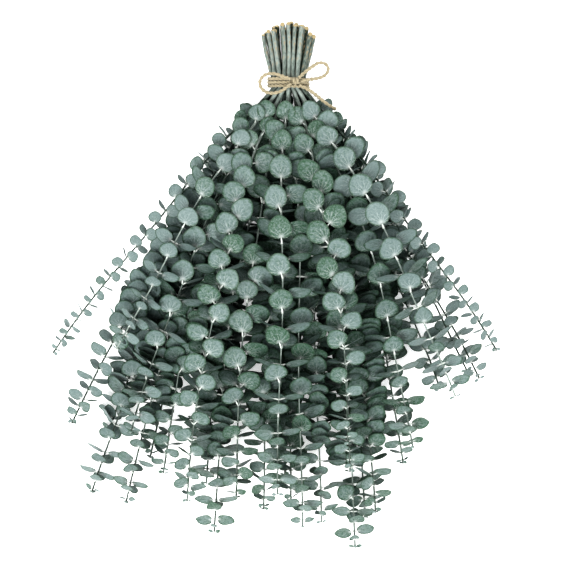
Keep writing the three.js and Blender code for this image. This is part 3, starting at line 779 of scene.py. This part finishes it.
# %% The blade's grid
CELLS = 6
a, b = np.meshgrid(np.linspace(-1, 1, CELLS + 1), np.linspace(-1, 1, CELLS + 1), indexing="ij")
disc_x = (a * np.sqrt(1 - b * b / 2)).ravel()
disc_y = (b * np.sqrt(1 - a * a / 2)).ravel()
on_rim = (np.maximum(np.abs(a), np.abs(b)) > 0.999).ravel()
inner = np.flatnonzero(~on_rim)
back_of = np.arange(disc_x.size)
back_of[inner] = disc_x.size + np.arange(inner.size)
corner = np.arange(disc_x.size).reshape(a.shape)
around_cell = (corner[:-1, :-1], corner[1:, :-1], corner[1:, 1:], corner[:-1, 1:])
front_faces = np.stack(around_cell, -1).reshape(-1, 4)
blade_faces = np.concatenate((front_faces, back_of[front_faces][:, ::-1]))
blade_xy = np.stack((np.concatenate((disc_x, disc_x[inner])), np.concatenate((disc_y, disc_y[inner]))), 1)
blade_back = np.concatenate((np.zeros(disc_x.size), np.ones(inner.size)))
blade_rim = np.concatenate((on_rim, np.zeros(inner.size, bool)))
print("a blade has", len(blade_faces), "faces")

# %% The blade's form
BLADE_THICKNESS = 0.45
# Shares of the blade's radius. Of two values, the second goes with a draw, or with how young the leaf is.
# Of the lobes, the first is for two round the blade and the second for three
LOBES, WIDTH_DRAW, YOUNG_NARROW, TAPER = (0.035, 0.03), 0.05, 0.14, 0.07
POINT, POINT_ANGLE = (0.04, 0.05), 0.25
NOTCH, NOTCH_HALF, NOTCH_FROM = 0.13, 0.2, 0.5
CUP, FOLD, RIM_WAVE = (0.03, 0.1), (0.09, 0.09), (0.03, 0.025)
TILT, CURL = 0.16, 0.1


def blade_points(which):
    """Points of the chosen leaves' blades. A disc of the leaf's radius, lobed a little, drawn to a point at
    its tip and notched at its stalk, is raised by cup times the distance squared, by fold times the
    distance from the midrib, by a tilt across it, by a wave round the rim and by a curl along the midrib.
    Its back lies a leaf's thickness lower, less towards the rim."""
    keys = [(leaves.owner[i], leaves.pair[i], leaves.side[i]) for i in which]
    cup, fold, wave, turn, curl, width, roll = (
        np.array([draw(int(o), int(p), int(s), kind) for o, p, s in keys])[:, None] for kind in range(8, 15)
    )
    x, y = blade_xy[None, :, 0], blade_xy[None, :, 1]
    out = np.hypot(x, y)
    bearing = np.arctan2(x, y)
    young = young_share(leaves.left[which])[:, None]
    lobes = LOBES[0] * np.sin(2 * bearing + np.pi * roll)
    lobes = 1 + lobes + LOBES[1] * np.sin(3 * bearing + 3 * np.pi * width)
    x, y = x * lobes, y * lobes
    x = x * (1 + WIDTH_DRAW * width - YOUNG_NARROW * young) * (1 - TAPER * y)
    y = y + (POINT[0] + POINT[1] * young) * out**2 * np.exp(-((bearing / POINT_ANGLE) ** 2))
    notch = NOTCH * np.exp(-((x / NOTCH_HALF) ** 2)) * smooth(-y, NOTCH_FROM, 1 - NOTCH_FROM)
    rise = (CUP[0] + CUP[1] * cup) * out**2 + (FOLD[0] + FOLD[1] * fold) * np.abs(x) + TILT * roll * x
    rise = rise + (RIM_WAVE[0] + RIM_WAVE[1] * wave) * np.sin(3 * bearing + np.pi * turn) * out**2
    rise = rise + CURL * curl * y * np.abs(y)
    radius = leaves.radius[which][:, None]
    depth = rise * radius - BLADE_THICKNESS * blade_back * (1 - out**4)
    along, face = leaves.along[which], leaves.face[which]
    points = (x * radius)[..., None] * np.cross(along, face)[:, None]
    points = points + (leaves.reach[which][:, None] + (y + notch) * radius)[..., None] * along[:, None]
    return points + depth[..., None] * face[:, None]


# %% [markdown]
# ## Branches
# A branch grew in one piece, so it is one mesh: its stem, a short stalk for each leaf, and the blades. The
# stem could be a curve with a bevel, but a curve can't swell at each leaf pair. It is a tube with a radius
# of its own at every ring, cut off aslant at its lower end. It follows the true curve, and its leaves move
# with it by the millimetre or so that the solids' straight stretches are off.

# %% Stem tube
STEM_SIDES, RING_STEP = 8, 3.0
# A sideways bow of the bare end, which starts this far from the neck, and the cut's slant with its draw
BOW, BOW_FROM = 1.0, 9
CUT_SLANT = (0.9, 0.36)
# Radius as a share of the plan's, and the swelling at leaf pairs and at the scars of stripped leaves
SLIMMER, NODE_SWELL, NODE_HALF = 0.86, 0.2, 1.6
FIRST_SCAR, SCAR_STEP, LAST_SCAR = 14, 15, 4
# More of it on the bare end, at the neck, along the twig, and on hidden stems where they leave the tie, so
# that the table doesn't show between them: how much, and over which distances
BARE_STOUT, BARE_STOUT_LENGTH = (0.2, 0.14), 30
NECK_STOUT, NECK_STOUT_LENGTH = 0.16, 60
TWIG_STOUT, TWIG_STOUT_LENGTH = 0.22, 150
HIDDEN_STOUT, HIDDEN_LAYERS, HIDDEN_RISE, HIDDEN_FALL = 0.36, 3, 12, (15, 45)


def ring_radii(branch, at):
    """Radii of a stem's rings: the plan's, times a share that rises as a bell curve at each leaf pair."""
    line = branch.line
    nodes = np.array([p[1] for p in leaf_pairs(branch)])
    nodes = np.concatenate((nodes, np.arange(nodes[0] - FIRST_SCAR, line.butt + LAST_SCAR, -SCAR_STEP)))
    swell = np.exp(-(((at[:, None] - nodes) / NODE_HALF) ** 2)).sum(1)
    bare = BARE_STOUT[0] + BARE_STOUT[1] * draw(branch.index, 16)
    neck = NECK_STOUT * smooth(1 - at / NECK_STOUT_LENGTH)
    stout = mix(neck, bare, smooth(-at / BARE_STOUT_LENGTH))
    stout = stout + TWIG_STOUT * smooth(1 - (line.tip - at) / TWIG_STOUT_LENGTH)
    if branch.layer < HIDDEN_LAYERS:
        fall = smooth(1 - (at - HIDDEN_FALL[0]) / HIDDEN_FALL[1])
        stout = stout + HIDDEN_STOUT * smooth(at / HIDDEN_RISE) * fall
    return line.radius(at) * (SLIMMER + NODE_SWELL * swell + stout)


def stem_parts(branch):
    """Points, faces and UV of a stem: rings on the true curve, a bow on the bare end, an aslant cut."""
    line = branch.line
    at = np.concatenate((np.arange(line.butt, 0, RING_STEP), np.arange(0, line.tip, RING_STEP), [line.tip]))
    path = np.where((at > 0)[:, None], branch.true_point(at), line.at(at))
    bow = np.sin(np.pi * np.clip((at + BOW_FROM) / (line.butt + BOW_FROM), 0, 1))
    path[:, 0] += BOW * draw(branch.index, 17) * bow
    forward = unit(np.gradient(path, axis=0))
    up = unit(np.array((0, 0, 1)) - forward[:, 2:] * forward)
    radii = ring_radii(branch, at)
    path[:, 2] = np.maximum(path[:, 2], radii + TABLE)
    points, faces = tube(path, radii, STEM_SIDES, np.cross(forward, up), up)
    cut = points[:STEM_SIDES]
    slant = CUT_SLANT[0] + CUT_SLANT[1] * draw(branch.index, 13)
    points[:STEM_SIDES] = cut + forward[0] * (dot(cut - path[0], up[0]) * slant)[:, None]
    points[:, 2] = np.maximum(points[:, 2], TABLE)
    around = np.tile(np.arange(STEM_SIDES) / STEM_SIDES, len(at))
    return points, faces, np.stack((around, np.repeat(at - line.butt, STEM_SIDES)), 1)


# %% Stalks
# Places and radii of a stalk's three rings, as shares; its start in the stem, its end under the blade and
# how far it sinks; and its radius, with what a larger blade adds
STALK_SIDES = 5
STALK_STEPS, STALK_TAPER = np.array((0, 0.45, 1)), np.array((1.15, 0.9, 0.35))
STALK_ROOT, STALK_UNDER, STALK_SINK = 0.4, 0.72, 0.3
STALK_RADIUS = (0.1, 0.075)


def stalk_parts(branch, which):
    """Points and faces of the leaves' stalks: tubes of three rings from in the stem to under the blade."""
    along, face = leaves.along[which], leaves.face[which]
    start = -STALK_ROOT * branch.line.radius(leaves.at[which])
    end = leaves.reach[which] - STALK_UNDER * leaves.radius[which]
    thick = (STALK_RADIUS[1] * leaves.radius[which] + STALK_RADIUS[0])[:, None] * STALK_TAPER[None]
    way = mix(start[:, None], end[:, None], STALK_STEPS[None])
    middle = leaves.root[which][:, None] + way[..., None] * along[:, None]
    middle = middle - (STALK_SINK * thick * STALK_STEPS)[..., None] * face[:, None]
    spoke = spokes(STALK_SIDES, np.cross(along, face), -face)
    points = (middle[:, :, None] + thick[:, :, None, None] * spoke[:, None]).reshape(-1, 3)
    points[:, 2] = np.maximum(points[:, 2], TABLE)
    rings = len(STALK_STEPS)
    first = np.arange(len(which))[:, None] * rings * STALK_SIDES
    sides = ring_faces(rings, STALK_SIDES)[None] + first[..., None]
    around = np.arange(STALK_SIDES)
    caps = np.stack((first + around[::-1], first + (rings - 1) * STALK_SIDES + around), 1)
    return points, sides.reshape(-1, 4).tolist() + caps.reshape(-1, STALK_SIDES).tolist()


# %% [markdown]
# ## Bloom, painted shade and painted light on stems and leaves
# Stems and leaves keep more or less bloom, at random and by where they grow. Shade and light are painted
# into the same number: bare ends and leaves in the lower layers, and leaves in the middle, are darker and
# greener as painted shade, and leaves at the sides of the fan are paler as painted light. Each point has one
# number for all this, the tone, which the two finishes read. It could be a painted map. A rule keeps it
# true when branches change.

# %% Tones
# Where a change starts and how far it goes on: to the sides, past the bare end, out of the middle where bare
# ends get painted shade
SIDE_FROM, BARE_END, DEEP_HALF, TWIG_GREEN = (0.3, 0.3), (46, 20), (8.5, 4), 140
# How much bloom is usual, and how much a draw and each place add or take. The entries for each layer under
# the top, and the leaves' entry for the middle, are painted shade, and the leaves' entry for the sides is
# painted light
STEM_BLOOM_AND_SHADE = dict(usual=0.75, draw=0.25, hanging=0.7, bare_draw=0.15, deep_shade=0.46, twig=0.4)
LEAF_BLOOM_LIGHT_AND_SHADE = dict(usual=0.9, draw=0.2, green=0.9, middle=0.1, deep_shade=0.08, side=0.35, first=0.33)
GREEN_BELOW, STALK_TONE = -0.5, 1.2


def side_share(branch):
    """0 for branches in the middle of the fan, rising to 1 for those at its sides."""
    return smooth(branch.slope, *SIDE_FROM)


def stem_tones(branch, from_cut):
    """Tone along a stem: a usual value and a draw, less where a side stem hangs against the white table and
    on the twigs in the middle, and less on the bare end, as painted shade, for each layer that it lies deeper
    between the others."""
    aside = side_share(branch)
    bare = 1 - smooth(from_cut, *BARE_END)
    hanging = aside if branch.layer < TOP_LAYER else 0
    # Painted shade: the bare end gets darker for each layer under the top, near the middle of the fan
    deep_shade = (TOP_LAYER - branch.layer) * (1 - smooth(abs(branch.start), *DEEP_HALF))
    usual = STEM_BLOOM_AND_SHADE["usual"] + STEM_BLOOM_AND_SHADE["draw"] * draw(branch.index, 14)
    tone = usual - STEM_BLOOM_AND_SHADE["hanging"] * hanging * (1 - bare)
    tone = tone + (STEM_BLOOM_AND_SHADE["bare_draw"] * draw(branch.index, 18) - STEM_BLOOM_AND_SHADE["deep_shade"] * deep_shade) * bare
    twig = smooth(1 - (from_cut[-1] - from_cut) / TWIG_GREEN)
    return tone - STEM_BLOOM_AND_SHADE["twig"] * twig * (1 - aside)


def leaf_tones(branch, which):
    """A tone for each leaf: a usual value and a draw, much less for the few leaves with a low draw, and less
    near the neck. As painted shade it is less in the middle and for each layer under the top, and as painted
    light it is more at the sides."""
    keys = [(int(leaves.pair[i]), int(leaves.side[i])) for i in which]
    chance = np.array([draw(branch.index, pair, side, 15) for pair, side in keys])
    tone = LEAF_BLOOM_LIGHT_AND_SHADE["usual"] + LEAF_BLOOM_LIGHT_AND_SHADE["draw"] * chance
    tone = tone - LEAF_BLOOM_LIGHT_AND_SHADE["green"] * np.maximum(0, GREEN_BELOW - chance)
    # Painted shade in the middle of the fan and for each layer under the top; painted light at its sides
    middle = -LEAF_BLOOM_LIGHT_AND_SHADE["middle"] - LEAF_BLOOM_LIGHT_AND_SHADE["deep_shade"] * (TOP_LAYER - branch.layer)
    tone = tone + mix(middle, LEAF_BLOOM_LIGHT_AND_SHADE["side"], side_share(branch))
    return tone - LEAF_BLOOM_LIGHT_AND_SHADE["first"] * (1 - smooth(leaves.at[which], FIRST_PAIR, GROWN_AFTER))


# %% Put the branches together
# Room under a blade, and the part of it that bends up from the stalk; the stalks' place in the bark, far
# from the cut; and the numbers of the three finishes
OVER_TABLE, STILL_AT_STALK = 0.1, 0.6
STALK_UV = (0.5, 300.0)
BARK, LEAF, CUT = 0, 1, 2


def lifted(blades):
    """Blades that dip under the table are raised onto it, all but their ends at the stalk."""
    sunk = np.maximum(0, OVER_TABLE + TABLE - blades[..., 2].min(1))
    blades[..., 2] += sunk[:, None] * np.clip((blade_xy[:, 1] + 1) / STILL_AT_STALK, 0, 1)
    return blades


def branch_piece(branch):
    """One mesh of the stem, the stalks and the blades, in this order."""
    which = np.flatnonzero(leaves.owner[: leaves.count] == branch.index)
    leaves.root[which] += branch.true_point(leaves.at[which]) - branch.line.at(leaves.at[which])
    stem, stem_faces, stem_uv = stem_parts(branch)
    stalks, stalk_faces = stalk_parts(branch, which)
    blades = lifted(blade_points(which) + leaves.root[which][:, None])
    points = np.concatenate((stem, stalks, blades.reshape(-1, 3)))
    corners = blades.shape[1]
    blade_start = len(stem) + len(stalks)
    starts = blade_start + np.arange(len(which)) * corners
    faces = stem_faces + [[c + len(stem) for c in f] for f in stalk_faces]
    faces += (blade_faces[None] + starts[:, None, None]).reshape(-1, 4).tolist()
    finish = np.full(len(faces), BARK)
    finish[len(stem_faces) + len(stalk_faces) :] = LEAF
    finish[len(stem_faces) - 2] = CUT
    blade_uv = np.tile((blade_xy + 1) / 2, (len(which), 1))
    uv = np.concatenate((stem_uv, np.full((len(stalks), 2), STALK_UV), blade_uv))
    tones = (
        stem_tones(branch, stem_uv[:, 1]),
        np.full(len(stalks), STALK_TONE),
        np.repeat(leaf_tones(branch, which), corners),
    )
    sharp = np.concatenate((np.zeros(blade_start, bool), np.tile(blade_rim, len(which))))
    sharp[:STEM_SIDES] = True
    name = f"eucalyptus_{branch.index + 1:02d}"
    materials = [bark_finish, leaf_finish, cut_finish]
    return make_piece(name, points, faces, materials, finish, uv, {"tone": np.concatenate(tones)}, sharp)


face_count = 0
for branch in branches:
    piece = branch_piece(branch)
    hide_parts(solid_name(branch))
    face_count += len(piece.data.polygons)
print(len(branches), "branches made, with", face_count, "faces")

# %% [markdown]
# ## Twine
# Jute twine is two strands of coarse plant fibre twisted round each other. It could be one tube with a bump
# map, but then its outline would be smooth. Each strand is a tube of its own that winds round the twine's
# path. The wraps are one path that winds three times round the neck, the knot is a short turn round the
# crossing, and the bow's two loops and its free end follow the solids' routes.

# %% Jute material
# Dry plant fibre: matt, with a little sheen from loose hairs
# Fibres round a strand, and the length in millimetres over which one shows
FIBRES_ROUND, FIBRE_LENGTH = 6.0, 2.1

dry = {"Roughness": 0.9, "Specular_IOR_Level": 0.15, "Sheen_Weight": 0.2}
jute_finish, tree, shader = new_material("jute_fibre", **dry)
strand = add_node(tree, "UVMap", uv_map="surface")
stretch = add_node(tree, "Mapping", {0: (strand, "UV"), "Scale": (FIBRES_ROUND, 1 / FIBRE_LENGTH, 1.0)})
fibre = add_node(tree, "TexNoise", {"Vector": (stretch, 0), "Scale": 1.2, "Detail": 4.0})
tint = add_node(tree, "MapRange", {0: (fibre, 0), 1: 0.3, 2: 0.7, 3: 0.0, 4: 1.0})
blend = add_node(tree, "MixRGB", {0: (tint, 0), 1: colour("#887f69"), 2: colour("#aba28b")})
tree.links.new(blend.outputs[0], shader.inputs["Base Color"])
bump = add_node(tree, "Bump", {"Height": (fibre, 0), "Strength": 0.5, "Distance": 0.0003})
tree.links.new(bump.outputs[0], shader.inputs["Normal"])
print("jute:", len(tree.nodes), "nodes")

# %% Twist a twine along a path
TWIST_LENGTH, STRAND_SIDES = 8.0, 7
# A strand's radius and how far it lies off the path, as shares of the twine's radius
STRAND_RADIUS, STRAND_OFF = 0.7, 0.36


def path_frame(path):
    """Two directions square to a path at each point, carried along it without turning."""
    forward = unit(np.gradient(path, axis=0))
    start = np.cross(forward[0], (0.0, 0.3, 1.0))
    sideways = [start / np.linalg.norm(start)]
    for step in forward[1:]:
        carried = sideways[-1] - dot(sideways[-1], step) * step
        sideways.append(carried / np.linalg.norm(carried))
    sideways = np.array(sideways)
    return sideways, np.cross(forward, sideways)


def twine_piece(name, path, node):
    """Two strands, half a turn apart, that wind round a path once in every twist length. Two sine waves
    along the path make them uneven. Gives back the piece and the path's length."""
    sideways, up = path_frame(path)
    steps = np.linalg.norm(np.diff(path, axis=0), axis=1)
    run = np.concatenate(([0], np.cumsum(steps)))
    points, faces, uv = [], [], []
    for strand in (0, 1):
        phase = 2 * np.pi * run / TWIST_LENGTH + np.pi * strand
        uneven = 1 + 0.07 * np.sin(run * 1.9 + strand) + 0.05 * np.sin(run * 4.3)
        aside = np.cos(phase)[:, None] * sideways + np.sin(phase)[:, None] * up
        middle = path + STRAND_OFF * TWINE_RADIUS * aside
        ring, ring_list = tube(middle, STRAND_RADIUS * TWINE_RADIUS * uneven, STRAND_SIDES, sideways, up)
        faces += [[c + len(points) * len(ring) for c in f] for f in ring_list]
        points.append(ring)
        around = np.tile(np.arange(STRAND_SIDES) / STRAND_SIDES, len(path))
        uv.append(np.stack((around + 3 * strand, np.repeat(run, STRAND_SIDES)), 1))
    piece = make_piece(name, np.concatenate(points), faces, [jute_finish], 0, np.concatenate(uv))
    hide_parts(node)
    return piece, run[-1]


# %% Wraps and knot
WRAP_TURNS, WRAP_PITCH, WRAP_POINTS = 3, 3, 420
# Middle of the knot, and the half sizes and half turns of its coil
KNOT = np.array((6, 0.6, WRAP_TOP + 2.7))
KNOT_HALF, KNOT_HALF_TURNS, KNOT_POINTS = (2.3, 1.75, 1.15), (-0.4, 2.9), 70

turn = np.linspace(0, 2 * np.pi * WRAP_TURNS, WRAP_POINTS)
wrap_x = (WRAP_HALF_WIDTH + TWINE_RADIUS) * np.sin(turn)
wrap_y = WRAP_PITCH * (turn / (2 * np.pi) - WRAP_TURNS / 2)
wrap_z = NECK_HEIGHT - (WRAP_HALF_HEIGHT + TWINE_RADIUS) * np.cos(turn)
_, wrap_length = twine_piece("jute_wraps", np.stack((wrap_x, wrap_y, wrap_z), 1), "twine_wrap")

turn = np.linspace(KNOT_HALF_TURNS[0] * np.pi, KNOT_HALF_TURNS[1] * np.pi, KNOT_POINTS)
share = np.linspace(-1, 1, KNOT_POINTS)
coil = np.stack((KNOT_HALF[0] * share, KNOT_HALF[1] * np.cos(turn), KNOT_HALF[2] * np.sin(turn)), 1)
_, knot_length = twine_piece("jute_knot", KNOT + coil, "twine_knot")
print("the wraps take", round(wrap_length), "mm of twine, and the knot", round(knot_length))

# %% Loops and free end
for name, node, route, end in (
    ("jute_loop_left", "twine_loop_left", LEFT_LOOP, "object"),
    ("jute_loop_right", "twine_loop_right", RIGHT_LOOP, "object"),
    ("jute_free_end", "twine_tail", FREE_END, "bare"),
):
    path = twine_route(route)
    piece, length = twine_piece(name, path, node)
    print(name, round(length), "mm long")

# %% [markdown]
# ## Table, light and camera
# The bunch lies on plain white paper and is seen from straight above, as on a product sheet. The paper
# there is lit until its shadows vanish. Here it glows a little, which does the same. A wide soft light
# hangs over the tips to the left, so the leaves' faces are bright and the gaps between them dark. Two
# weaker ones fill in from the right and from behind the cut ends, and the room is evenly white.

# %% Table
TABLE_HALF, PAPER_GLOW = 6.0, 0.35
floor_finish, tree, shader = new_material("white_table", Roughness=0.9)
shader.inputs["Base Color"].default_value = colour("#fafafa")
shader.inputs["Emission Color"].default_value = (1, 1, 1, 1)
shader.inputs["Emission Strength"].default_value = PAPER_GLOW
mesh = bpy.data.meshes.new("table")
square = [(-1, -1, 0), (1, -1, 0), (1, 1, 0), (-1, 1, 0)]
mesh.from_pydata([(x * TABLE_HALF, y * TABLE_HALF, z) for x, y, z in square], [], [(0, 1, 2, 3)])
mesh.materials.append(floor_finish)
table = bpy.data.objects.new("table", mesh)
bpy.context.scene.collection.objects.link(table)
table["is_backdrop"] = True
print("the table is", 2 * TABLE_HALF, "m wide")

# %% Light
ROOM_LIGHT = 0.44
world = bpy.data.worlds.new("soft_room")
world.use_nodes = True
world.node_tree.nodes["Background"].inputs["Color"].default_value = (1, 1, 1, 1)
world.node_tree.nodes["Background"].inputs["Strength"].default_value = ROOM_LIGHT
bpy.context.scene.world = world


def soft_light(name, place, aim, size, watts):
    """A square soft light at a place, turned to face a point, both in metres."""
    data = bpy.data.lights.new(name, "AREA")
    data.size, data.energy = size, watts
    light = bpy.data.objects.new(name, data)
    light.location = place
    toward = Vector(aim) - Vector(place)
    light.rotation_euler = toward.to_track_quat("-Z", "Y").to_euler()
    bpy.context.scene.collection.objects.link(light)


soft_light("key", (-0.6, -0.72, 1.75), (0, 0, 0), 1.5, 49)
soft_light("right", (1.3, -0.5, 1.1), (0.1, 0, 0.03), 1.2, 11)
soft_light("fill", (0.4, 1.5, 0.8), (0, 0, 0.03), 1.2, 11)
bpy.context.scene.view_settings.view_transform = "Standard"
bpy.context.scene.view_settings.look = "High Contrast"
print("three lights in a white room")

# %% Camera
# The picture's width and the tie's place in it, in pixels
PIXELS, TIE_PIXEL, MM_PER_PIXEL = 576, (288.4, 82), 0.85
VIEW_DISTANCE, FOCUS_HEIGHT = 2.4, 0.03
SENSOR = 36
camera_data = bpy.data.cameras.new("above")
camera_data.sensor_width = SENSOR
camera_data.lens = SENSOR * VIEW_DISTANCE / (MM_PER_PIXEL * PIXELS / 1000)
camera = bpy.data.objects.new("above", camera_data)
camera_x = ORIGIN[0] + (PIXELS / 2 - TIE_PIXEL[0]) * MM_PER_PIXEL
camera_y = ORIGIN[1] + (TIE_PIXEL[1] - PIXELS / 2) * MM_PER_PIXEL
camera.location = (camera_x / 1000, camera_y / 1000, VIEW_DISTANCE + FOCUS_HEIGHT)
bpy.context.scene.collection.objects.link(camera)
bpy.context.scene.camera = camera
print("the camera hangs", VIEW_DISTANCE, "m over the leaves")

# %% Sizes
visual_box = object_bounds()
grown = [(v - c) * 1000 for side in (0, 1) for v, c in zip(visual_box[side], CAD_BOX[side])]
print("the dressed box differs from the solids' by", np.round(grown, 1), "mm")
